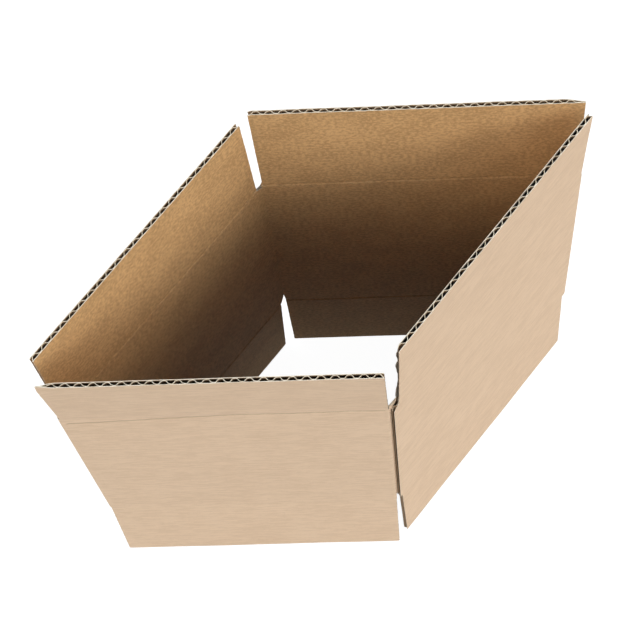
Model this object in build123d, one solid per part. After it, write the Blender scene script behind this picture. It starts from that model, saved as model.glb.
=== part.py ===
from build123d import *
import os
from math import atan2, ceil, cos, floor, radians, sin, tan

# A regular slotted shipping box of single-wall corrugated board, glued into a tube and opened half
# way from flat. It stands on its bottom flaps, with every flap roughly in line with its panel.
# Lengths are millimetres and angles are degrees. +Z is up, the front panel faces -Y, and the
# origin is under the middle of the box, on the surface that it stands on.

# The board: two flat facings with a fluted sheet glued between them, flutes upright
board = 2.5
facing = 0.3
fluting = 0.25
flute_pitch = 6.5
flute_crest = 1.6

# The tube: panel sizes are crease to crease on the inner faces
front_width = 159.5
side_width = 154.6
panel_height = 162.6
front_corner_angle = 50.65
crease_crush = 1.2
score_crush = 2.2

# How far along each panel the fluting first touches the inner facing
first_flute = {"front": 0.6, "right": 1.9, "back": 3.6, "left": 4.5}

# The crushed groove that runs along each flap score on the inner face
groove_depth = 0.8
groove_half_width = 1.6

# The glue tab: an extension of the front panel, folded in behind the right panel
tab_width = 32.0
tab_thickness = 1.4
tab_shoulder = 3.0
tab_taper = 12.0
raw_edge_gap = 0.5

# The flaps: the slots between them are cut mostly out of the side flaps
flap_depth = 73.0

# How far each flap starts after its panel's first corner and stops short of its second
top_inset = {"front": (0.65, 0.1), "right": (5.5, 0.55), "back": (-0.5, -0.25), "left": (4.1, 1.2)}
bottom_inset = {"front": (-0.75, -0.15), "right": (2.8, 2.2), "back": (0.3, 0.38), "left": (3.7, 0.6)}

# How far each flap leans out of its panel's plane
top_lean = {"front": 6.4, "right": 1.5, "back": 3.05, "left": 2.0}
bottom_lean = {"front": 3.7, "right": 1.2, "back": 2.05, "left": 2.7}

# Angles between directions, and how far a cut runs past the face that it opens
quarter_turn = 90.0
half_turn = 180.0
cut_overrun = 1.0


def panel_frames():
    """Each panel's frame: X along its inner face, anticlockwise round the box, Y into the box."""
    side = Vector(cos(radians(front_corner_angle)), sin(radians(front_corner_angle)), 0)
    front = Vector(1, 0, 0)
    corner_a = Vector(0, 0, 0)
    corner_b = corner_a + front * front_width
    corner_c = corner_b + side * side_width
    corner_d = corner_a + side * side_width
    up = Vector(0, 0, 1)
    return {
        "front": Plane(corner_a, x_dir=front, z_dir=up),
        "right": Plane(corner_b, x_dir=side, z_dir=up),
        "back": Plane(corner_c, x_dir=front * -1, z_dir=up),
        "left": Plane(corner_d, x_dir=side * -1, z_dir=up),
    }


def panel_width(name):
    return front_width if name in ("front", "back") else side_width


def flap_span(name, inset):
    """Where a top or bottom flap starts and ends along its panel, between the slots."""
    start, end = inset[name]
    return start, panel_width(name) - end


def rectangle(x_start, x_end, y_start, y_end):
    corners = [(x_start, y_start), (x_end, y_start), (x_end, y_end), (x_start, y_end)]
    return make_face(Polyline(*corners, close=True))


def flute_hollows(name, x_start, x_end, whole_only):
    """The hollows each side of the fluting, as faces in a panel's frame.

    The fluting lies flat on each facing for one crest and slopes straight across between them.
    """
    rise = board - 2 * facing
    depth = rise - fluting
    run = flute_pitch / 2 - flute_crest
    shift = fluting / 2 / sin(atan2(depth, run))
    half_base = flute_pitch / 4 - shift + rise / 2 * run / depth
    half_top = half_base - run
    outer, inner = -board + facing, -facing
    faces = []
    first = floor((x_start - first_flute[name]) / flute_pitch * 2) - 1
    last = ceil((x_end - first_flute[name]) / flute_pitch * 2) + 1
    for step in range(first, last + 1):
        middle = first_flute[name] + step * flute_pitch / 2
        low, high = middle - half_base, middle + half_base
        if whole_only and (low < x_start or high > x_end):
            continue
        if high <= x_start or low >= x_end:
            continue
        base, top = (outer, outer + depth) if step % 2 == 0 else (inner, inner - depth)
        corners = [(low, base), (high, base), (middle + half_top, top), (middle - half_top, top)]
        faces.append(make_face(Polyline(*corners, close=True)))
    return faces


def score_groove(x_start, x_end):
    """The half of a score's groove above z = 0, as a prism along the panel."""
    profile = [(0, 0), (-groove_depth, 0), (0, groove_half_width)]
    face = make_face(Plane.YZ.offset(x_start) * Polyline(*profile, close=True))
    return extrude(face, amount=x_end - x_start, dir=(1, 0, 0))


def fold(pivot, turn_start, turn, start_radius, end_radius):
    """The rounded outside of a crease: a sector round the sharp inner line of the fold."""
    def rim(angle, radius):
        return pivot + Vector(cos(radians(angle)), sin(radians(angle)), 0) * radius
    first = rim(turn_start, start_radius)
    middle = rim(turn_start + turn / 2, (start_radius + end_radius) / 2)
    last = rim(turn_start + turn, end_radius)
    edge = ThreePointArc(first, middle, last)
    return make_face([edge, Line(last, pivot), Line(pivot, first)])


def tab_pivot():
    """Where the tab folds away from the front panel, so that its outer face meets the side panel."""
    return Vector(front_width - tab_thickness / sin(radians(front_corner_angle)), 0, 0)


def tab_frame():
    return Plane(tab_pivot(), x_dir=panel_frames()["right"].x_dir, z_dir=(0, 0, 1))


def glue_tab():
    """The tab on the right panel's inner face, with its ends tapered to slip in easily."""
    high = panel_height - tab_shoulder
    taper = tab_width * tan(radians(tab_taper))
    outline = [(0, tab_shoulder), (tab_width, tab_shoulder + taper), (tab_width, high - taper), (0, high)]
    face = make_face(Plane.XZ * Polyline(*outline, close=True))
    return tab_frame() * extrude(face, amount=tab_thickness, dir=(0, -1, 0))


def tube_section():
    """The tube's outline without its flutes: four walls and the four folds between them."""
    frames = panel_frames()
    sharp_turn, blunt_turn = half_turn - front_corner_angle, front_corner_angle
    walls = {
        "front": rectangle(0, tab_pivot().X, -board, 0),
        "right": rectangle(raw_edge_gap, side_width, -board, 0),
        "back": rectangle(0, front_width, -board, 0),
        "left": rectangle(0, side_width, -board, 0),
    }
    section = Sketch() + [frames[name] * wall for name, wall in walls.items()]
    facing_front, facing_back = -quarter_turn, quarter_turn
    section += fold(tab_pivot(), facing_front, blunt_turn, board, tab_thickness)
    section += fold(frames["back"].origin, facing_front + blunt_turn, sharp_turn, board, board)
    section += fold(frames["left"].origin, facing_back, blunt_turn, board, board)
    section += fold(frames["front"].origin, facing_back + blunt_turn, sharp_turn, board, board)
    return section


def panel_hollows(name):
    """One panel's flutes: crushed shut at both scores, open where a slot is cut beside a flap."""
    def end_crush(bounds, inset):
        slot_start, slot_end = flap_span(name, inset)
        in_slot = bounds.max.X < slot_start or bounds.min.X > slot_end
        return -cut_overrun if in_slot else score_crush
    start = raw_edge_gap if name == "right" else crease_crush
    end = tab_pivot().X - crease_crush if name == "front" else panel_width(name) - crease_crush
    hollows = []
    for face in flute_hollows(name, start, end, whole_only=True):
        low = end_crush(face.bounding_box(), bottom_inset)
        high = panel_height - end_crush(face.bounding_box(), top_inset)
        hollows.append(Pos(0, 0, low) * extrude(face, amount=high - low, dir=(0, 0, 1)))
    return hollows


def panel_groove(name, inset):
    """The tube's half of a bottom score's groove, kept within the panel."""
    start, end = flap_span(name, inset)
    return score_groove(max(start, 0), min(end, panel_width(name)))


def build_tube():
    tube = extrude(tube_section(), amount=panel_height) + glue_tab()
    for name, frame in panel_frames().items():
        bottom_groove = panel_groove(name, bottom_inset)
        top_groove = Pos(0, 0, panel_height) * mirror(panel_groove(name, top_inset), Plane.XY)
        cuts = panel_hollows(name) + [bottom_groove, top_groove]
        tube = tube - [frame * cut for cut in cuts]
    return tube


def build_flap(name, inset):
    """A flap standing straight up from a score at z = 0, in its panel's frame."""
    start, end = flap_span(name, inset)
    flap = extrude(rectangle(start, end, -board, 0), amount=flap_depth)
    hollows = []
    for face in flute_hollows(name, start, end, whole_only=False):
        prism = extrude(face, amount=flap_depth, dir=(0, 0, 1))
        hollows.append(Pos(0, 0, score_crush) * prism)
    return flap - hollows - score_groove(start, end)


def lean_out(flap, degrees):
    """Turns a standing flap outward about its score line on the outer face."""
    return Pos(0, -board, 0) * Rot(degrees, 0, 0) * Pos(0, board, 0) * flap


def build_box():
    pieces = {"tube": build_tube()}
    for name, frame in panel_frames().items():
        top = Pos(0, 0, panel_height) * lean_out(build_flap(name, top_inset), top_lean[name])
        bottom = mirror(lean_out(build_flap(name, bottom_inset), bottom_lean[name]), Plane.XY)
        pieces["top_flap_" + name] = frame * top
        pieces["bottom_flap_" + name] = frame * bottom
    return pieces


def centred(pieces):
    """The pieces with the origin under the middle of the whole box."""
    boxes = [piece.bounding_box() for piece in pieces.values()]
    low = Vector(min(b.min.X for b in boxes), min(b.min.Y for b in boxes), min(b.min.Z for b in boxes))
    high = Vector(max(b.max.X for b in boxes), max(b.max.Y for b in boxes), 0)
    shift = Pos(-(low.X + high.X) / 2, -(low.Y + high.Y) / 2, -low.Z)
    return {name: shift * piece for name, piece in pieces.items()}


os.makedirs("parts", exist_ok=True)
for node, shape in centred(build_box()).items():
    export_step(shape, f"parts/{node}.step")
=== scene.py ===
from math import cos, pi, radians, sin, tan

import bpy
import numpy as np
from mathutils import Matrix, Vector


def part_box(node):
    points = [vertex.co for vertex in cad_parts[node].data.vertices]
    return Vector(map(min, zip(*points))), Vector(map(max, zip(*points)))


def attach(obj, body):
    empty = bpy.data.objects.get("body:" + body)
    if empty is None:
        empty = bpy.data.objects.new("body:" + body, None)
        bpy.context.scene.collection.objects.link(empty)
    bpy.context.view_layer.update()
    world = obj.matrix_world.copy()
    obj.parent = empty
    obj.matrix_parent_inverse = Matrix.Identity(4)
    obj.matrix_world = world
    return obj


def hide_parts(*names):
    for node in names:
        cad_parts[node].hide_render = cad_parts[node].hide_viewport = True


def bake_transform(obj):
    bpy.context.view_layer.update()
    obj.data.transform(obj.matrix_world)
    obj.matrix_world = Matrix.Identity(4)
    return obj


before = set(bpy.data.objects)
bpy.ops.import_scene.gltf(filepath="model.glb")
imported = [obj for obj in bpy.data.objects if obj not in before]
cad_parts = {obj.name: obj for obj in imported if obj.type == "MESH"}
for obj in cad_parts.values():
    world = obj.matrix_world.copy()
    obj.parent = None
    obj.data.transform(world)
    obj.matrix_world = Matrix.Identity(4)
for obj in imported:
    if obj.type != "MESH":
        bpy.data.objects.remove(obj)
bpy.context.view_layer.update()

# A shipping box of single-wall corrugated board, made of its three papers: the outer liner, the
# fluted sheet and the inner liner. Each panel has a frame with x along its inner face,
# anticlockwise round the box. Depth is measured outward from that face, and z is up. Metres.
MM = 0.001

# Sizes of the board and the box, as the CAD model has them. The tables are in millimetres and
# degrees. An inset is how far a flap starts after its panel's first corner and stops short of
# its second.
BOARD = 2.5 * MM
PITCH = 6.5 * MM
FRONT_WIDTH = 159.5 * MM
SIDE_WIDTH = 154.6 * MM
HEIGHT = 162.6 * MM
CORNER = radians(50.65)
FLAP_DEPTH = 73.0 * MM
FIRST_FLUTE = {"front": 0.6, "right": 1.9, "back": 3.6, "left": 4.5}
TOP_LEAN = {"front": 6.4, "right": 1.5, "back": 3.05, "left": 2.0}
BOTTOM_LEAN = {"front": 3.7, "right": 1.2, "back": 2.05, "left": 2.7}
TOP_INSET = {"front": (0.65, 0.1), "right": (5.5, 0.55), "back": (-0.5, -0.25), "left": (4.1, 1.2)}
BOTTOM_INSET = {"front": (-0.75, -0.15), "right": (2.8, 2.2), "back": (0.3, 0.38), "left": (3.7, 0.6)}

# The papers, with the burr that makes their cut edges look thicker than the sheet, and the flat
# on the crest of a flute
LINER = 0.29 * MM
FLUTING = 0.27 * MM
CREST = 1.3 * MM

# The glue joint between the front and the right panel
RAW_EDGE = 1.2 * MM
TAB_WIDTH = 32.0 * MM
TAB_THICKNESS = 0.9 * MM
TAB_SHOULDER = 3.0 * MM
TAB_SHOULDER_REACH = 2 * MM
TAB_TAPER = radians(12.0)

# Upright creases: beside one the flutes are shut, and then they open over the crushed length
CREASE_ROUNDING = 0.7 * MM
CREASE_STEPS = 8
CREASE_SHUT = 0.8 * MM
CREASE_CRUSH = 2.6 * MM

# The scores that the flaps bend about: the groove in the inner liner, the length over which the
# flutes are crushed, and the gap between a flap's papers and the tube's
GROOVE_DEPTH = 0.45 * MM
GROOVE_WIDTH = 1.7 * MM
SCORE_CRUSH = 3.6 * MM
SCORE_GAP = 0.04 * MM

# The line that a score leaves in the outer liner. The front top one is plain to see and drops
# towards its left end, and the others are faint.
SCORE_LINE_DEPTH = 0.22 * MM
SCORE_LINE_WIDTH = 1.1 * MM
SCORE_LINE_WANDER = 0.6 * MM
SCORE_LINE_WAVES = (53 * MM, 19 * MM, 8 * MM)
SCORE_LINE_SEED = 7
SCORE_LINE_DROP = 6.0 * MM
SCORE_LINE_DROP_REACH = 90 * MM
FAINT_SCORE_LINE = 0.15

# The strip of inner liner that bends over each score
BAND_REACH = 2.6 * MM
BAND_LIFT = 0.03 * MM
BAND_THICKNESS = LINER / 3
BAND_TURN = 1.2 * MM

# How finely the papers are divided
LINER_STEP = PITCH / 3
NEAR_END = np.array([0.0, 0.5, 1.1, 1.9, 2.9, 4.2]) * MM
NEAR_FREE_EDGE = np.array([3.0, 2.1, 1.3, 0.7, 0.3, 0.0]) * MM
FREE_EDGE_REACH = 4 * MM
ON_SLOPE = np.array([-1.0, -0.62, -0.22, 0.22, 0.62, 1.0])
SPARE_SLOPES = 4
CLEAR_OF_END = 0.1 * MM
BELOW_SCORE = 2.5 * SCORE_CRUSH
BELOW_SCORE_ROWS = 15
BAND_ROWS = 21
TUBE_SCORE_ROWS = {"liner": 13, "fluting": 8}
TUBE_WALL_ROWS = {"liner": 24, "fluting": 12}
FLAP_SCORE_ROWS = {"liner": 13, "fluting": 7}
FLAP_WALL_ROWS = {"liner": 25, "fluting": 9}
SHARP_EDGE = radians(40)

# Cut edges: how far they wander, over which lengths and from how far past the score, and how far
# a flap's corners are rounded
EDGE_WANDER = 0.2 * MM
EDGE_WAVES = (31 * MM, 9 * MM, 4.3 * MM)
EDGE_START = 6 * MM
CORNER_ROUND = 1.4 * MM

# Seeds of the cut edges: the steps between panels, to a panel's top flap, and between papers
PANEL_SEEDS = 100
TOP_SEEDS = 50
PAPER_SEEDS = 10

# How far the panels ripple, in a broad and a fine wave with lengths along and up the board
RIPPLE = 0.1 * MM
BROAD_WAVE = (97 * MM, 143 * MM)
BROAD_STARTS = (0.8, 0.3)
BROAD_SHARE = 0.7
FINE_WAVE = (41 * MM, 67 * MM)
FINE_SHARE = 0.3

# How far a flap's two side edges are off their places at the score and at the free edge
OFF_AT_SCORE = {"top_flap_front": (-2.0, 0.0), "top_flap_back": (0.4, -0.55)}
OFF_AT_FREE_EDGE = {"top_flap_front": (-0.9, 0.0), "top_flap_back": (0.4, 0.55)}

# Top flap corners that are pressed flat: reach along the free edge, reach down, and how far the
# outer face is pressed in and the inner face is pressed out
PRESSED = {"front": (8 * MM, 9 * MM, 0.7 * MM, 1.2 * MM), "back": (11 * MM, 10 * MM, 1.5 * MM, 0.0)}

# The torn near edge of the right top flap's inner liner: how far down from the free edge each rag
# starts, is widest and ends, and its size
TORN_FLAP = ("right", True)
RAGS = ((2, 8, 17, 0.8), (18, 22, 42, 1.05), (43, 70, 100, 1.1))
RAG_WANDER = 0.06
RAG_WAVES = (9 * MM, 4.1 * MM)
RAG_SEED = 5

# How far back the torn edge stands, in all and where it has no rag, and how far the liner is
# crushed outward between the rags. The fluted sheet behind it ends at the bare edge.
TEAR = 0.7 * MM
NO_RAG = 1.15
CRUSHED = 1.0 * MM
CRUSHED_REACH = 3.2 * MM
CRUSHED_START = 9 * MM
BARE_EDGE = 1.6 * MM

# How much squarer than round the front panel's two creases are at their tops, and how far the
# one at the glue tab stands out past the fold
SQUARE = 0.9 * MM
OVERHANG = 1.2 * MM

# The pressed board in the top slot between the back and the left panel: the share of its
# thickness that is lost, its reach down and along, and how much of the reach along is flat
PINCH = 0.45
PINCH_DOWN = 7 * MM
PINCH_ALONG = 4.1 * MM
PINCH_FLAT = 0.9

# How far the two side panels' top slots are cut below the scores, at the flap and at the crease,
# and how sharply a slot ends
RIGHT_SLOT = (4.0 * MM, 11.0 * MM)
LEFT_SLOT = (0.0, 3.0 * MM)
SLOT_END = 0.6 * MM
SLOT_END_STEP = 0.12 * MM
SLOT_END_CLEAR = 0.25 * MM

# The slanted nick above the bottom slot between the back and the left panel, and the share of the
# crease's turn by which the nick and the top slot are at full depth
NICK_HEIGHT = 9 * MM
NICK_WIDTH = 4 * MM
FULL_ON_CREASE = 0.8

UP = np.array([0.0, 0.0, 1.0])
FRONT = np.array([1.0, 0.0, 0.0])
SIDE = np.array([cos(CORNER), sin(CORNER), 0.0])
PANELS = ("front", "right", "back", "left")


# Places

def panel_frames():
    """Origin, direction along, direction outward, width and place on the unrolled board."""
    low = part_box("tube")[0]
    corner_a = np.array([low.x + BOARD, low.y + BOARD, low.z])
    corner_b = corner_a + FRONT * FRONT_WIDTH
    corner_c = corner_b + SIDE * SIDE_WIDTH
    corner_d = corner_a + SIDE * SIDE_WIDTH
    starts = (corner_a, corner_b, corner_c, corner_d)
    ways = (FRONT, SIDE, -FRONT, -SIDE)
    widths = (FRONT_WIDTH, SIDE_WIDTH, FRONT_WIDTH, SIDE_WIDTH)
    frames, unrolled = {}, 0.0
    for name, start, way, width in zip(PANELS, starts, ways, widths):
        outward = np.cross(way, UP)
        frames[name] = {"origin": start, "along": way, "out": outward, "width": width, "u": unrolled}
        unrolled += width
    return frames


FRAMES = panel_frames()
TAB_PIVOT = FRONT_WIDTH - TAB_THICKNESS / sin(CORNER)


def node_name(name, top):
    return ("top_flap_" if top else "bottom_flap_") + name


def flap_span(name, top):
    """Where a panel's top or bottom flap starts and ends along it, between the slots."""
    start, end = (TOP_INSET if top else BOTTOM_INSET)[name]
    return start * MM, FRAMES[name]["width"] - end * MM


def on_panel(name, x, out, z):
    """Points at a distance along a panel, a depth and a height."""
    panel = FRAMES[name]
    flat = panel["origin"] + x[..., None] * panel["along"] + out[..., None] * panel["out"]
    return flat + z[..., None] * UP


def smooth(value):
    value = np.clip(value, 0.0, 1.0)
    return value * value * (3 - 2 * value)


def wander(place, seed, lengths, size):
    """A gentle seeded wave along an edge, never more than size either way."""
    chance = np.random.default_rng(seed)
    total = np.zeros_like(place)
    for length in lengths:
        total = total + np.sin(2 * pi * (place / length + chance.random()))
    return size * total / len(lengths)


def ripple(u, v):
    """How far a panel lies inside its plane, as a negative number, at a place on the board."""
    along, up = BROAD_WAVE
    along_start, up_start = BROAD_STARTS
    broad = np.sin(2 * pi * u / along + along_start) * np.cos(2 * pi * v / up + up_start)
    along, up = FINE_WAVE
    fine = np.sin(2 * pi * u / along + 2 * pi * v / up)
    return RIPPLE * (BROAD_SHARE * broad + FINE_SHARE * fine - 1)


def liner_places(start, end):
    """Places along a liner, closer together near its ends."""
    first, last = start + NEAR_END[-1], end - NEAR_END[-1]
    middle = np.linspace(first, last, int((last - first) / LINER_STEP) + 2)[1:-1]
    return np.concatenate([start + NEAR_END, middle, end - NEAR_END[::-1]])


def flute_places(start, end, first):
    """Places along a fluted sheet: some on each slope and none on the flat of its crests."""
    steps = np.arange(-SPARE_SLOPES, int((end - start) / PITCH * 2) + SPARE_SLOPES)
    slopes = first + PITCH / 4 + steps * PITCH / 2
    places = (slopes[:, None] + ON_SLOPE * (PITCH / 2 - CREST) / 2).ravel()
    inside = places[(places > start + CLEAR_OF_END) & (places < end - CLEAR_OF_END)]
    return np.concatenate([[start], inside, [end]])


def places_along(name, paper, start, end):
    if paper == "fluting":
        return flute_places(start, end, FIRST_FLUTE[name] * MM)
    return liner_places(start, end)


def wall_places(name, paper, start, end):
    """Places along a wall. A side panel has two at the end of its deep slot, close together."""
    places = places_along(name, paper, start, end)
    if name not in ("right", "left"):
        return places
    slot_end = flap_span(name, True)[0]
    apart = places[np.abs(places - slot_end) > SLOT_END_CLEAR]
    return np.sort(np.concatenate([apart, [slot_end - SLOT_END_STEP, slot_end]]))


def slot_floor(name, x):
    """The height of a wall's top edge, which a slot's cut lowers beside the first crease."""
    at_flap, at_crease = {"right": RIGHT_SLOT, "left": LEFT_SLOT}.get(name, (0.0, 0.0))
    slot_end = flap_span(name, True)[0]
    share = np.clip(1 - x / slot_end, 0, 1)
    cut = at_flap + (at_crease - at_flap) * share
    return HEIGHT - np.where(x < slot_end - SLOT_END_STEP / 2, cut, 0.0)


def flute_wave(name, x):
    """1 where the fluted sheet lies on the inner liner and -1 where it lies on the outer one."""
    first = FIRST_FLUTE[name] * MM
    away = np.abs((x - first + PITCH / 2) % PITCH - PITCH / 2)
    return 1 - 2 * smooth((away - CREST / 2) / (PITCH / 2 - CREST))


# Meshes

def shell(name, near, far, papers):
    """A closed thin sheet between two grids, each of points and their places on the unrolled board.

    papers are the materials of its inward face, its outward face, its end edges and its side edges.
    """
    (near_points, near_board), (far_points, far_board) = near, far
    rows, columns = near_points.shape[:2]
    count = rows * columns
    index = np.arange(count).reshape(rows, columns)

    def quads(grid, flip):
        a, b, c, d = grid[:-1, :-1], grid[:-1, 1:], grid[1:, 1:], grid[1:, :-1]
        order = (a, d, c, b) if flip else (a, b, c, d)
        return np.stack([corner.ravel() for corner in order], axis=1)

    def rim(line, flip):
        a, b = line[:-1], line[1:]
        order = (b, a, a + count, b + count) if flip else (a, b, b + count, a + count)
        return np.stack(order, axis=1)

    rims = [rim(index[0], False), rim(index[-1], True), rim(index[:, 0], True), rim(index[:, -1], False)]
    faces = [quads(index, True), quads(index + count, False)] + rims
    counts = (len(faces[0]), len(faces[1]), len(rims[0]) + len(rims[1]), len(rims[2]) + len(rims[3]))
    papers_of = np.repeat(range(len(papers)), counts).tolist()
    points = np.concatenate([near_points.reshape(-1, 3), far_points.reshape(-1, 3)])
    places = np.concatenate([near_board.reshape(-1, 3), far_board.reshape(-1, 3)])
    mesh = bpy.data.meshes.new(name)
    mesh.from_pydata(points.tolist(), [], np.concatenate(faces).tolist())
    for paper in papers:
        mesh.materials.append(paper)
    mesh.polygons.foreach_set("material_index", papers_of)
    mesh.polygons.foreach_set("use_smooth", [True] * len(mesh.polygons))
    mesh.attributes.new("board", "FLOAT_VECTOR", "POINT").data.foreach_set("vector", places.ravel())
    mesh.update()
    mesh.set_sharp_from_angle(angle=SHARP_EDGE)
    piece = bpy.data.objects.new(name, mesh)
    bpy.context.scene.collection.objects.link(piece)
    return piece


def fluted(along, depth, half):
    """How a fluted sheet's two faces lie beside its middle line: sideways and in depth."""
    slope = np.gradient(depth, axis=1) / np.gradient(along, axis=1)
    length = np.sqrt(1 + slope * slope)
    return -slope / length * half, 1 / length * half


def groove(distance):
    return GROOVE_DEPTH * (1 - smooth(distance / GROOVE_WIDTH))


def score_line(u, distance, strength):
    """The dent that a score leaves in the outer liner. distance is positive on the flap."""
    middle = wander(u, SCORE_LINE_SEED, SCORE_LINE_WAVES, SCORE_LINE_WANDER)
    middle = middle - SCORE_LINE_DROP * smooth(1 - u / SCORE_LINE_DROP_REACH)
    return strength * SCORE_LINE_DEPTH * (1 - smooth(np.abs(distance - middle) / SCORE_LINE_WIDTH))


def score_strength(name, top):
    """Only the front top score shows plainly from outside."""
    return 1.0 if (name, top) == ("front", True) else FAINT_SCORE_LINE


# The tube

def in_slot(x, span):
    """1 over a slot and 0 under a flap."""
    first, last = span
    return 1 - smooth((x - first) / SLOT_END + 0.5) * smooth((last - x) / SLOT_END + 0.5)


def bare_stations(count):
    """What places round the tube have where there is no flap, no flute and no wear."""
    none, all_of_it = np.zeros(count), np.ones(count)
    return {
        "wave": none, "open": none, "top_slot": all_of_it, "bottom_slot": all_of_it,
        "top_line": none, "pinch": none, "square": none, "overhang": none,
    }


def wall_stations(name, start, end, paper):
    """Places along one wall, as columns of a grid."""
    panel = FRAMES[name]
    x = wall_places(name, paper, start, end)
    count = len(x)
    from_crease = np.minimum(x, panel["width"] - x)
    from_nick = x if name == "left" else np.full(count, panel["width"])
    return bare_stations(count) | {
        "base": panel["origin"][:2] + np.outer(x, panel["along"][:2]),
        "out": np.tile(panel["out"][:2], (count, 1)),
        "along": np.tile(panel["along"][:2], (count, 1)),
        "wave": flute_wave(name, x),
        "u": panel["u"] + x,
        "thick": np.full(count, BOARD),
        "top_slot": in_slot(x, flap_span(name, True)),
        "bottom_slot": in_slot(x, flap_span(name, False)),
        "top_line": np.full(count, score_strength(name, True)),
        "open": smooth((from_crease - CREASE_SHUT) / CREASE_CRUSH),
        "pinch": 1 - smooth(from_nick / PINCH_ALONG - PINCH_FLAT),
        "low": NICK_HEIGHT * np.clip(1 - from_nick / NICK_WIDTH, 0, 1),
        "high": slot_floor(name, x),
    }


def turned(vector, angle):
    return np.stack([vector[0] * np.cos(angle) - vector[1] * np.sin(angle),
                     vector[0] * np.sin(angle) + vector[1] * np.cos(angle)], axis=1)


def crease_stations(pivot, before, after, u, thick_before, thick_after, square=False, slotted=False):
    """Places round a crease, which turns from one wall's direction to the next one's.

    A square one is squarer than round towards its top, and stands out where it leads to the glue
    tab. A slotted one has the nick at its foot, and the pressed board and the deep slot at its top.
    """
    t = np.linspace(0, 1, CREASE_STEPS + 2)[1:-1]
    turn = np.arctan2(before[0] * after[1] - before[1] * after[0],
                      before[0] * after[0] + before[1] * after[1])
    out_before = np.array([before[1], -before[0]])
    start = pivot - before[:2] * CREASE_ROUNDING
    end = pivot + after[:2] * CREASE_ROUNDING
    from_wall = turn * np.minimum(t, 1 - t)
    cut = smooth(t / FULL_ON_CREASE) * slotted
    return bare_stations(len(t)) | {
        "base": np.outer((1 - t) ** 2, start) + np.outer(2 * t * (1 - t), pivot) + np.outer(t * t, end),
        "out": turned(out_before, turn * t),
        "along": turned(before[:2], turn * t),
        "u": u + (t - 0.5) * 2 * CREASE_ROUNDING,
        "thick": thick_before + (thick_after - thick_before) * t,
        "pinch": smooth(t) * slotted,
        "square": np.minimum(BOARD / np.cos(from_wall) - BOARD, SQUARE) * square,
        "overhang": OVERHANG * np.sin(pi * t) * (thick_after < BOARD),
        "low": NICK_HEIGHT * cut,
        "high": HEIGHT - LEFT_SLOT[1] * cut,
    }


def tab_stations(paper):
    """Places along the glue tab, from its crease to its free end. Its ends are tapered."""
    x = places_along("right", paper, CREASE_ROUNDING, TAB_WIDTH)
    count = len(x)
    pivot = FRAMES["front"]["origin"] + FRONT * TAB_PIVOT
    inset = TAB_SHOULDER * smooth(x / TAB_SHOULDER_REACH) + x * tan(TAB_TAPER)
    return bare_stations(count) | {
        "base": pivot[:2] + np.outer(x, SIDE[:2]),
        "out": np.tile(FRAMES["right"]["out"][:2], (count, 1)),
        "along": np.tile(SIDE[:2], (count, 1)),
        "u": -SIDE_WIDTH + x,
        "thick": np.full(count, TAB_THICKNESS),
        "low": inset,
        "high": HEIGHT - inset,
    }


def tube_path(paper):
    """The whole folded sheet, from the right panel's raw edge round the box to the tab's end."""
    front, right, back, left = (FRAMES[name] for name in PANELS)
    bend = CREASE_ROUNDING
    pivot = front["origin"][:2] + FRONT[:2] * TAB_PIVOT
    parts = [
        wall_stations("right", RAW_EDGE, SIDE_WIDTH - bend, paper),
        crease_stations(back["origin"][:2], SIDE, -FRONT, back["u"], BOARD, BOARD),
        wall_stations("back", bend, FRONT_WIDTH - bend, paper),
        crease_stations(left["origin"][:2], -FRONT, -SIDE, left["u"], BOARD, BOARD, slotted=True),
        wall_stations("left", bend, SIDE_WIDTH - bend, paper),
        crease_stations(front["origin"][:2], -SIDE, FRONT, front["u"], BOARD, BOARD, square=True),
        wall_stations("front", bend, TAB_PIVOT - bend, paper),
        crease_stations(pivot, FRONT, SIDE, right["u"], BOARD, TAB_THICKNESS, square=True),
        tab_stations(paper),
    ]
    return {key: np.concatenate([part[key] for part in parts]) for key in parts[0]}


def tube_rows(paper):
    """Heights of the tube's rows, close together near both scores and below a liner's top one."""
    fine = np.linspace(0, SCORE_CRUSH, TUBE_SCORE_ROWS[paper])
    below = HEIGHT - (SCORE_CRUSH if paper == "fluting" else BELOW_SCORE)
    parts = [fine, np.linspace(SCORE_CRUSH, below, TUBE_WALL_ROWS[paper])[1:-1]]
    if paper == "liner":
        parts.append(np.linspace(below, HEIGHT - SCORE_CRUSH, BELOW_SCORE_ROWS)[:-1])
    return np.concatenate(parts + [HEIGHT - fine[::-1]])[:, None]


def tube_grid(path, rows, sideways, depth):
    """Points of one face of a paper in the tube, and their places on the unrolled board."""
    z = path["low"] + rows / HEIGHT * (path["high"] - path["low"])
    board = np.stack([np.broadcast_to(path["u"], z.shape), depth + BOARD - path["thick"], z], axis=2)
    squeeze = PINCH * path["pinch"] * smooth((z - HEIGHT + PINCH_DOWN) / PINCH_DOWN)
    depth = depth * (1 - squeeze) * (1 + path["square"] / BOARD * z / HEIGHT)
    depth = depth + ripple(path["u"], z) * smooth(path["open"]) * (path["thick"] > TAB_THICKNESS)
    flat = path["base"] + path["along"] * sideways[..., None] + path["out"] * depth[..., None]
    flat = flat + FRONT[:2] * (path["overhang"] * depth / BOARD)[..., None]
    bottom = FRAMES["front"]["origin"][2]
    points = np.concatenate([flat, (z + bottom)[..., None]], axis=2)
    return points, board


def tube_faces(path, rows):
    """Depths of the tube's inner and outer faces, and how much each score crushes the flutes."""
    near_top = rows > HEIGHT / 2
    scored = 1 - np.where(near_top, path["top_slot"], path["bottom_slot"])
    distance = np.minimum(rows, HEIGHT - rows)
    strength = np.where(near_top, path["top_line"], np.minimum(path["top_line"], FAINT_SCORE_LINE))
    inside = groove(distance) * scored
    outside = path["thick"] - score_line(path["u"], -distance, strength) * scored
    crushed = (1 - smooth(distance / SCORE_CRUSH)) * scored
    return inside, outside, crushed


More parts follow.
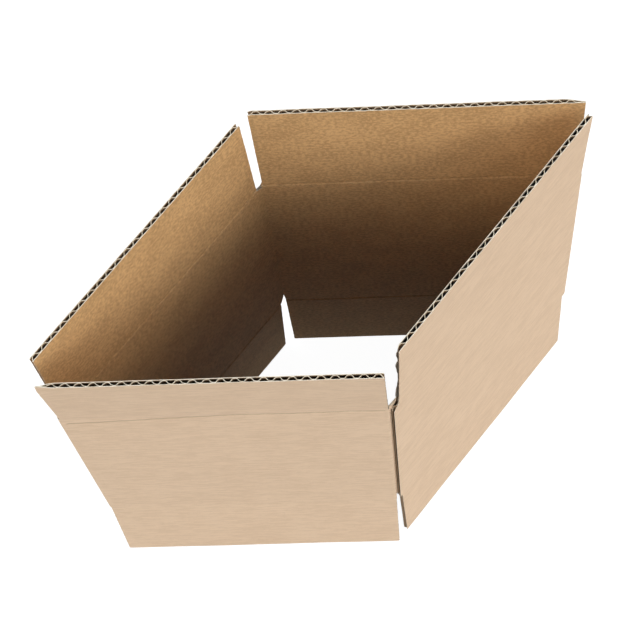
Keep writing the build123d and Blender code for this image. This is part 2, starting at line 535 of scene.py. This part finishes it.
def tube_paper(label, path, rows, near, far, papers, sideways=0.0):
    sideways = sideways + np.zeros_like(near)
    piece = shell("tube_" + label, tube_grid(path, rows, -sideways, near),
                  tube_grid(path, rows, sideways, far), papers)
    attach(piece, "tube")
    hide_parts("tube")


def build_tube(paper):
    path, rows = tube_path("liner"), tube_rows("liner")
    inside, outside = tube_faces(path, rows)[:2]
    tube_paper("outer_liner", path, rows, outside - LINER, outside,
               (paper["fluting"], paper["outer"], paper["cut"], paper["cut"]))
    tube_paper("inner_liner", path, rows, inside, inside + LINER,
               (paper["inner"], paper["fluting"], paper["cut"], paper["cut"]))
    path, rows = tube_path("fluting"), tube_rows("fluting")
    inside, outside, crushed = tube_faces(path, rows)
    reach = (outside - inside - 2 * LINER - FLUTING) / 2 * path["open"] * (1 - crushed)
    depth = (inside + outside) / 2 - reach * path["wave"]
    sideways, half = fluted(np.broadcast_to(path["u"], depth.shape), depth, FLUTING / 2)
    # The fluted sheet's side cut edges take the dark fluting paper, which is painted shade where a pale
    # cut edge would be
    tube_paper("fluting", path, rows, depth - half, depth + half,
               (paper["fluting"], paper["fluting"], paper["flute_edge"], paper["fluting"]), sideways)


# The flaps

def flap_rows(label):
    """Distances of a flap's rows from its score, close together near the score and the free edge."""
    kind = "fluting" if label == "fluting" else "liner"
    fine = np.linspace(SCORE_GAP, SCORE_CRUSH, FLAP_SCORE_ROWS[kind])
    middle = np.linspace(SCORE_CRUSH, FLAP_DEPTH - FREE_EDGE_REACH, FLAP_WALL_ROWS[kind])[1:]
    return np.concatenate([fine, middle, FLAP_DEPTH - NEAR_FREE_EDGE])[:, None]


def leaning(name, top, x, depth, h):
    """Points of a flap that leans out about its score line on the outer face."""
    lean = radians((TOP_LEAN if top else BOTTOM_LEAN)[name])
    inward = BOARD - depth
    out = BOARD - inward * cos(lean) + h * sin(lean)
    rise = inward * sin(lean) + h * cos(lean)
    return on_panel(name, x, out, HEIGHT + rise if top else -rise)


def flap_grid(name, top, x, depth, h):
    """Points of one face of a paper in a flap, and their places on the unrolled board."""
    v = HEIGHT + h if top else -h
    u = FRAMES[name]["u"] + x
    return leaning(name, top, x, depth + ripple(u, v), h), np.stack([u, depth, v], axis=2)


def flap_shell(name, top, label, near, far, papers):
    """A thin sheet on a flap. A bottom flap's rows run down, so they are taken in reverse."""
    way = 1 if top else -1
    near, far = ([grid[::way] for grid in face] for face in (near, far))
    return shell(f"{node_name(name, top)}_{label}", near, far, papers)


def rags(h):
    """How much of the torn edge is left at a distance from the score, from 0 to about 1."""
    down = FLAP_DEPTH - h
    total = np.zeros_like(h)
    for start, widest, end, size in RAGS:
        rise = smooth((down / MM - start) / (widest - start))
        fall = 1 - smooth((down / MM - widest) / (end - widest))
        total = total + size * rise * fall
    return total + wander(h, RAG_SEED, RAG_WAVES, RAG_WANDER)


def flap_area(name, top, label, seed):
    """Columns and rows of one paper of a flap, with its slightly uneven cut edges."""
    start, end = flap_span(name, top)
    share = (places_along(name, label, start, end) - start) / (end - start)
    h = flap_rows(label) * np.ones_like(share)
    free = smooth(h / EDGE_START)
    left = start + free * np.abs(wander(h, seed, EDGE_WAVES, EDGE_WANDER))
    right = end - free * np.abs(wander(h, seed + 1, EDGE_WAVES, EDGE_WANDER))
    node = node_name(name, top)
    if node in OFF_AT_SCORE:
        down = h / FLAP_DEPTH
        offs = zip(OFF_AT_SCORE[node], OFF_AT_FREE_EDGE[node])
        left_off, right_off = (at_score + (at_edge - at_score) * down for at_score, at_edge in offs)
        left, right = left + left_off * MM, right + right_off * MM
    if (name, top) == TORN_FLAP and label == "inner_liner":
        left = left + TEAR * (NO_RAG - rags(h))
    if (name, top) == TORN_FLAP and label == "fluting":
        left = left + BARE_EDGE
    x = left + share * (right - left)
    to_side = np.minimum(x - start, end - x)
    rounding = CORNER_ROUND * np.clip(1 - to_side / CORNER_ROUND, 0, 1) ** 2 / 2
    uneven = np.abs(wander(x, seed + 2, EDGE_WAVES, EDGE_WANDER))
    top_edge = FLAP_DEPTH - SCORE_GAP - uneven - rounding
    return x, h * top_edge / FLAP_DEPTH


def flap_faces(name, top, x, h):
    """Depths of a flap's inner and outer faces, with its score and its pressed corner."""
    inside = groove(h)
    outside = BOARD - score_line(FRAMES[name]["u"] + x, h, score_strength(name, top))
    if top and name in PRESSED:
        along, down, pressed_in, pressed_out = PRESSED[name]
        from_side = x - flap_span(name, top)[0]
        corner = (1 - smooth(from_side / along)) * (1 - smooth((FLAP_DEPTH - h) / down))
        outside = outside - pressed_in * corner
        inside = inside + pressed_out * corner
    return inside, outside


def flap_paper(name, top, label, x, h, near, far, papers, sideways=0.0):
    piece = flap_shell(name, top, label, flap_grid(name, top, x - sideways, near, h),
                       flap_grid(name, top, x + sideways, far, h), papers)
    node = node_name(name, top)
    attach(piece, node)
    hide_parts(node)


def build_flap(name, top, seed, paper):
    x, h = flap_area(name, top, "outer_liner", seed)
    inside, outside = flap_faces(name, top, x, h)
    flap_paper(name, top, "outer_liner", x, h, outside - LINER, outside,
               (paper["fluting"], paper["outer"], paper["cut"], paper["cut"]))
    x, h = flap_area(name, top, "inner_liner", seed + PAPER_SEEDS)
    inside, outside = flap_faces(name, top, x, h)
    behind, rim = paper["fluting"], paper["cut"]
    if (name, top) == TORN_FLAP:
        from_edge = x - flap_span(name, top)[0]
        near_edge = 1 - smooth(from_edge / CRUSHED_REACH)
        bare = np.clip(1 - rags(h), 0, 1)
        inside = inside + CRUSHED * bare * near_edge * smooth(h / CRUSHED_START)
        behind, rim = paper["torn"], paper["torn"]
    flap_paper(name, top, "inner_liner", x, h, inside, inside + LINER,
               (paper["inner"], behind, paper["cut"], rim))
    x, h = flap_area(name, top, "fluting", seed + 2 * PAPER_SEEDS)
    inside, outside = flap_faces(name, top, x, h)
    reach = (outside - inside - 2 * LINER - FLUTING) / 2 * smooth(h / SCORE_CRUSH)
    depth = (inside + outside) / 2 - np.maximum(reach, 0) * flute_wave(name, x)
    sideways, half = fluted(x, depth, FLUTING / 2)
    # The fluted sheet's side cut edges take the dark fluting paper, which is painted shade where a pale
    # cut edge would be
    flap_paper(name, top, "fluting", x, h, depth - half, depth + half,
               (paper["fluting"], paper["fluting"], paper["flute_edge"], paper["fluting"]), sideways)


def build_band(name, top, paper):
    """The inner liner over a score: a strip that curves from the wall onto the flap."""
    panel = FRAMES[name]
    x = liner_places(*flap_span(name, top))[None, :]
    h = np.linspace(-BAND_REACH, BAND_REACH, BAND_ROWS)[:, None] * np.ones_like(x)
    x = x * np.ones_like(h)
    near = groove(np.abs(h)) - BAND_LIFT * (1 - smooth(np.abs(h) / BAND_REACH))
    faces = []
    for depth in (near, near + BAND_THICKNESS):
        on_flap, board = flap_grid(name, top, x, depth, h)
        on_wall = on_panel(name, x, depth + ripple(panel["u"] + x, board[..., 2]), board[..., 2])
        share = smooth(h / BAND_TURN + 0.5)[..., None]
        faces.append((on_wall * (1 - share) + on_flap * share, board))
    piece = flap_shell(name, top, "score_band", *faces,
                       (paper["inner"], paper["fluting"], paper["cut"], paper["cut"]))
    node = node_name(name, top)
    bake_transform(piece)
    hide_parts(node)


# Materials

# The noises in kraft paper: how fine each is, its stretch along, through and up the board, its
# detail and its roughness
CLOUDS = (45.0, (1.0, 1.0, 1.0), 3.0, 0.6)
BLOTS = (620.0, (0.8, 1.0, 1.0), 3.0, 0.7)
GRAIN = (620.0, (0.18, 1.0, 1.3), 3.0, 0.6)
SPECKS = (950.0, (0.6, 1.0, 1.0), 2.0, 0.6)
FIBRES = (700.0, (0.22, 1.0, 1.5), 2.0, 0.6)
TOOTH = (1500.0, (0.5, 1.0, 1.0), 4.0, 0.7)

# The share of the clouds in the paper's tone, and where each noise starts and ends to show
CLOUD_SHARE = 0.2
TONE_RANGE = (0.41, 0.59)
SPECK_RANGE = (0.66, 0.74)
FIBRE_RANGE = (0.64, 0.74)

# The paper's relief: its tooth, and the flutes that show through. The wave texture has 20 radians
# to a metre at a scale of 1.
TOOTH_HEIGHT = 0.06
FLUTE_HEIGHT = 0.05
RELIEF = 1.0 * MM
WAVE_RADIANS = 20

ROUGHNESS = 0.75
SHINE = 0.45

# Painted shade along a dented score: its colour, how slight a dent it starts at and how far from the
# score it reaches
SCORE_SHADE_COLOUR = (0.3, 0.2, 0.125)
SLIGHT_DENT = 0.02 * MM
SCORE_SHADE_REACH = 3 * SCORE_CRUSH


def rgba(red, green, blue):
    return (red, green, blue, 1.0)


def grey(level):
    return rgba(level, level, level)


def add(tree, kind, **values):
    node = tree.nodes.new(kind)
    for key, value in values.items():
        setattr(node, key, value)
    return node


def give(tree, socket, value):
    """Joins a node's output to a socket, or sets the socket to a number or a colour."""
    if isinstance(value, bpy.types.NodeSocket):
        tree.links.new(value, socket)
    else:
        socket.default_value = value


def maths(tree, operation, *values):
    node = add(tree, "ShaderNodeMath", operation=operation)
    for socket, value in zip(node.inputs, values):
        give(tree, socket, value)
    return node.outputs["Value"]


def ramp(tree, value, places, levels=(0.0, 1.0)):
    """A smooth step from one level to another, between two places."""
    node = add(tree, "ShaderNodeMapRange", clamp=True, interpolation_type="SMOOTHSTEP")
    for label, number in zip(("From Min", "From Max", "To Min", "To Max"), (*places, *levels)):
        node.inputs[label].default_value = number
    tree.links.new(value, node.inputs["Value"])
    return node.outputs["Result"]


def mix(tree, factor, first, second):
    node = add(tree, "ShaderNodeMix", data_type="RGBA")
    for label, value in (("Factor", factor), ("A", first), ("B", second)):
        give(tree, node.inputs[label], value)
    return node.outputs["Result"]


def blended(tree, factor, first, second):
    """A mix of two shaders."""
    node = add(tree, "ShaderNodeMixShader")
    for socket, value in zip(node.inputs, (factor, first, second)):
        tree.links.new(value, socket)
    return node.outputs["Shader"]


def kraft(name, pale, dark, speck, fibre, specks, fibres, mottle, bump, painted_score_shade=0.0):
    """Kraft paper: cloudy colour, grain along the mill's direction, dark specks and pale fibres.

    The last argument is how much painted shade darkens an outer face where a score near its top dents
    it.
    """
    material = bpy.data.materials.new(name)
    material.use_nodes = True
    tree = material.node_tree
    links = tree.links
    shader = tree.nodes["Principled BSDF"]
    shader.inputs["Roughness"].default_value = ROUGHNESS
    shader.inputs["Specular IOR Level"].default_value = SHINE
    board = add(tree, "ShaderNodeAttribute", attribute_name="board", attribute_type="GEOMETRY")
    place = board.outputs["Vector"]

    def noise(scale, stretch, detail, roughness):
        scaled = add(tree, "ShaderNodeVectorMath", operation="MULTIPLY")
        scaled.inputs[1].default_value = stretch
        links.new(place, scaled.inputs[0])
        node = add(tree, "ShaderNodeTexNoise")
        node.inputs["Scale"].default_value = scale
        node.inputs["Detail"].default_value = detail
        node.inputs["Roughness"].default_value = roughness
        links.new(scaled.outputs["Vector"], node.inputs["Vector"])
        return node.outputs["Fac"]

    def part(value, share):
        return maths(tree, "MULTIPLY", value, share)

    grain_share = 1 - CLOUD_SHARE - mottle
    tone = maths(tree, "ADD", part(noise(*BLOTS), mottle), part(noise(*GRAIN), grain_share))
    tone = maths(tree, "ADD", part(noise(*CLOUDS), CLOUD_SHARE), tone)
    colour = mix(tree, ramp(tree, tone, TONE_RANGE), rgba(*pale), rgba(*dark))
    dots = ramp(tree, noise(*SPECKS), SPECK_RANGE)
    colour = mix(tree, part(dots, specks), colour, rgba(*speck))
    hairs = ramp(tree, noise(*FIBRES), FIBRE_RANGE)
    colour = mix(tree, part(hairs, fibres), colour, rgba(*fibre))
    # Painted shade: the colour darkens along the dent of a score near the top
    if painted_score_shade:
        parts = add(tree, "ShaderNodeSeparateXYZ")
        links.new(place, parts.inputs["Vector"])
        whole = ramp(tree, parts.outputs["Y"], (BOARD - SCORE_LINE_DEPTH, BOARD - SLIGHT_DENT))
        near_score = maths(tree, "COMPARE", parts.outputs["Z"], HEIGHT, SCORE_SHADE_REACH)
        painted_shade_mask = maths(tree, "MULTIPLY", maths(tree, "SUBTRACT", 1.0, whole), near_score)
        colour = mix(tree, part(painted_shade_mask, painted_score_shade), colour, rgba(*SCORE_SHADE_COLOUR))
    links.new(colour, shader.inputs["Base Color"])

    flutes = add(tree, "ShaderNodeTexWave", wave_type="BANDS", bands_direction="X", wave_profile="SIN")
    flutes.inputs["Scale"].default_value = 2 * pi / PITCH / WAVE_RADIANS
    links.new(place, flutes.inputs["Vector"])
    relief = add(tree, "ShaderNodeBump")
    relief.inputs["Strength"].default_value = bump
    relief.inputs["Distance"].default_value = RELIEF
    rough, fluted_through = part(noise(*TOOTH), TOOTH_HEIGHT), part(flutes.outputs["Fac"], FLUTE_HEIGHT)
    links.new(maths(tree, "ADD", rough, fluted_through), relief.inputs["Height"])
    links.new(relief.outputs["Normal"], shader.inputs["Normal"])
    return material


def make_papers():
    return {
        # The outer paper has painted shade along the dents of its scores
        "outer": kraft("kraft_outer_with_score_shade", pale=(0.725, 0.52, 0.345), dark=(0.652, 0.456, 0.295),
                       speck=(0.45, 0.32, 0.21), fibre=(0.78, 0.62, 0.47), specks=0.3, fibres=0.25,
                       mottle=0.2, bump=0.35, painted_score_shade=0.75),
        "inner": kraft("kraft_inner", pale=(0.62, 0.375, 0.165), dark=(0.42, 0.247, 0.1),
                       speck=(0.2, 0.11, 0.045), fibre=(0.68, 0.46, 0.26), specks=0.5, fibres=0.4,
                       mottle=0.68, bump=0.6),
        "cut": kraft("kraft_cut_edge", pale=(0.82, 0.71, 0.56), dark=(0.66, 0.54, 0.39),
                     speck=(0.45, 0.32, 0.19), fibre=(0.88, 0.79, 0.65), specks=0.35, fibres=0.3,
                     mottle=0.4, bump=0.5),
        "flute_edge": kraft("kraft_flute_edge", pale=(0.82, 0.71, 0.55), dark=(0.64, 0.51, 0.35),
                            speck=(0.42, 0.29, 0.16), fibre=(0.88, 0.79, 0.64), specks=0.35, fibres=0.3,
                            mottle=0.4, bump=0.5),
        "torn": kraft("kraft_torn_edge", pale=(0.4, 0.36, 0.29), dark=(0.26, 0.22, 0.17),
                      speck=(0.12, 0.09, 0.06), fibre=(0.5, 0.46, 0.38), specks=0.4, fibres=0.4,
                      mottle=0.4, bump=0.6),
        # The fluting paper's own brown, which is painted shade where it is used on the fluted sheet's
        # side cut edges
        "fluting": kraft("kraft_fluting_and_edge_shade", pale=(0.38, 0.25, 0.14), dark=(0.31, 0.2, 0.11),
                         speck=(0.16, 0.09, 0.04), fibre=(0.48, 0.34, 0.2), specks=0.35, fibres=0.25,
                         mottle=0.3, bump=0.4),
    }


# The floor: the light it gives back, and how bright it looks to the camera
FLOOR_HALF = 4.0
FLOOR_BOUNCE = 0.36
FLOOR_GLOW = 0.97
FLOOR_SEEN = 0.16


def floor_material():
    """A pale floor that shows near white and keeps the box's shadow."""
    material = bpy.data.materials.new("floor_paper")
    material.use_nodes = True
    tree = material.node_tree
    tree.nodes.clear()
    output = add(tree, "ShaderNodeOutputMaterial")
    rays = add(tree, "ShaderNodeLightPath")
    plain = add(tree, "ShaderNodeBsdfDiffuse")
    plain.inputs["Color"].default_value = grey(FLOOR_BOUNCE)
    seen = add(tree, "ShaderNodeBsdfDiffuse")
    seen.inputs["Color"].default_value = grey(FLOOR_SEEN)
    glow = add(tree, "ShaderNodeEmission")
    glow.inputs["Color"].default_value = grey(1.0)
    glow.inputs["Strength"].default_value = FLOOR_GLOW
    both = add(tree, "ShaderNodeAddShader")
    tree.links.new(seen.outputs["BSDF"], both.inputs[0])
    tree.links.new(glow.outputs["Emission"], both.inputs[1])
    direct = maths(tree, "MAXIMUM", rays.outputs["Is Camera Ray"], rays.outputs["Is Glossy Ray"])
    direct = maths(tree, "MAXIMUM", direct, rays.outputs["Is Transmission Ray"])
    surface = blended(tree, direct, plain.outputs["BSDF"], both.outputs["Shader"])
    tree.links.new(surface, output.inputs["Surface"])
    return material


def build_floor():
    half = FLOOR_HALF
    corners = [(-half, -half, 0), (half, -half, 0), (half, half, 0), (-half, half, 0)]
    mesh = bpy.data.meshes.new("floor")
    mesh.from_pydata(corners, [], [(0, 1, 2, 3)])
    mesh.materials.append(floor_material())
    floor = bpy.data.objects.new("floor", mesh)
    bpy.context.scene.collection.objects.link(floor)


# Light: a bright band round the horizon with a dimmer, bluer sky above it. It is stronger from the
# left and the right than from straight on, and from high at the front.
BAND_LIGHT = 3.5
SKY_LIGHT = 0.36
LOW_LIGHT = 0.3
BAND_BOTTOM = (0.1, 0.45)
BAND_TOP = (0.58, 0.84)
STRAIGHT_ON = 0.45
FROM_SIDES = 0.9
TO_THE_RIGHT = 0.03
FROM_HIGH_FRONT = 0.45
BAND_COLOUR = (1.0, 0.985, 0.97)
SKY_COLOUR = (0.5, 1.0, 1.55)


def build_world():
    """Studio light for the scene, which is plain white where the camera sees it."""
    world = bpy.data.worlds.new("studio")
    bpy.context.scene.world = world
    world.use_nodes = True
    tree = world.node_tree
    tree.nodes.clear()
    links = tree.links
    output = add(tree, "ShaderNodeOutputWorld")
    rays = add(tree, "ShaderNodeLightPath")
    place = add(tree, "ShaderNodeTexCoord")
    parts = add(tree, "ShaderNodeSeparateXYZ")
    links.new(place.outputs["Generated"], parts.inputs["Vector"])
    x, y, z = (parts.outputs[axis] for axis in "XYZ")
    to_side = maths(tree, "MULTIPLY", x, maths(tree, "MULTIPLY_ADD", x, FROM_SIDES, TO_THE_RIGHT))
    side = maths(tree, "ADD", to_side, STRAIGHT_ON)
    side = maths(tree, "MULTIPLY_ADD", maths(tree, "MULTIPLY", y, z), -FROM_HIGH_FRONT, side)
    rising = ramp(tree, z, BAND_BOTTOM, (LOW_LIGHT, BAND_LIGHT))
    falling = ramp(tree, z, BAND_TOP, (1.0, SKY_LIGHT / BAND_LIGHT))
    band = maths(tree, "MULTIPLY", rising, falling)
    soft = add(tree, "ShaderNodeBackground")
    tint = mix(tree, ramp(tree, z, BAND_TOP), rgba(*BAND_COLOUR), rgba(*SKY_COLOUR))
    links.new(tint, soft.inputs["Color"])
    links.new(maths(tree, "MULTIPLY", band, side), soft.inputs["Strength"])
    white = add(tree, "ShaderNodeBackground")
    white.inputs["Color"].default_value = grey(1.0)
    white.inputs["Strength"].default_value = 1.0
    seen = rays.outputs["Is Camera Ray"]
    surface = blended(tree, seen, soft.outputs["Background"], white.outputs["Background"])
    links.new(surface, output.inputs["Surface"])


# The camera's place from the inner front left corner at the bottom score, its turns and its lens
CAMERA_FROM_CORNER = np.array([177.56, -313.07, 1121.73]) * MM
CAMERA_TILT = 2.7837567
CAMERA_SWING = 0.0495967
CAMERA_ROLL = -0.032144
LENS = 116.646
SENSOR = 36.0
NEAREST_SEEN = 0.01
FARTHEST_SEEN = 50.0


def build_camera():
    """The camera from the photograph's perspective: it looks down steeply into the box."""
    data = bpy.data.cameras.new("camera")
    data.lens = LENS
    data.sensor_width = SENSOR
    data.clip_start = NEAREST_SEEN
    data.clip_end = FARTHEST_SEEN
    camera = bpy.data.objects.new("camera", data)
    bpy.context.scene.collection.objects.link(camera)
    about_x = Matrix.Rotation(CAMERA_TILT, 3, "X")
    about_y = Matrix.Rotation(CAMERA_SWING, 3, "Y")
    about_z = Matrix.Rotation(CAMERA_ROLL, 3, "Z")
    view = about_z @ about_y @ about_x
    place = FRAMES["front"]["origin"] + CAMERA_FROM_CORNER
    matrix = Matrix.Identity(4)
    for row in range(3):
        matrix[row] = (view[0][row], -view[1][row], -view[2][row], place[row])
    camera.matrix_world = matrix
    bpy.context.scene.camera = camera


# The scene

build_camera()
build_world()
build_floor()
papers = make_papers()
build_tube(papers)
for number, panel in enumerate(PANELS):
    for top in (True, False):
        seed = PANEL_SEEDS * number + (TOP_SEEDS if top else 0)
        build_flap(panel, top, seed, papers)
        build_band(panel, top, papers)
bpy.context.scene.view_settings.view_transform = "Standard"
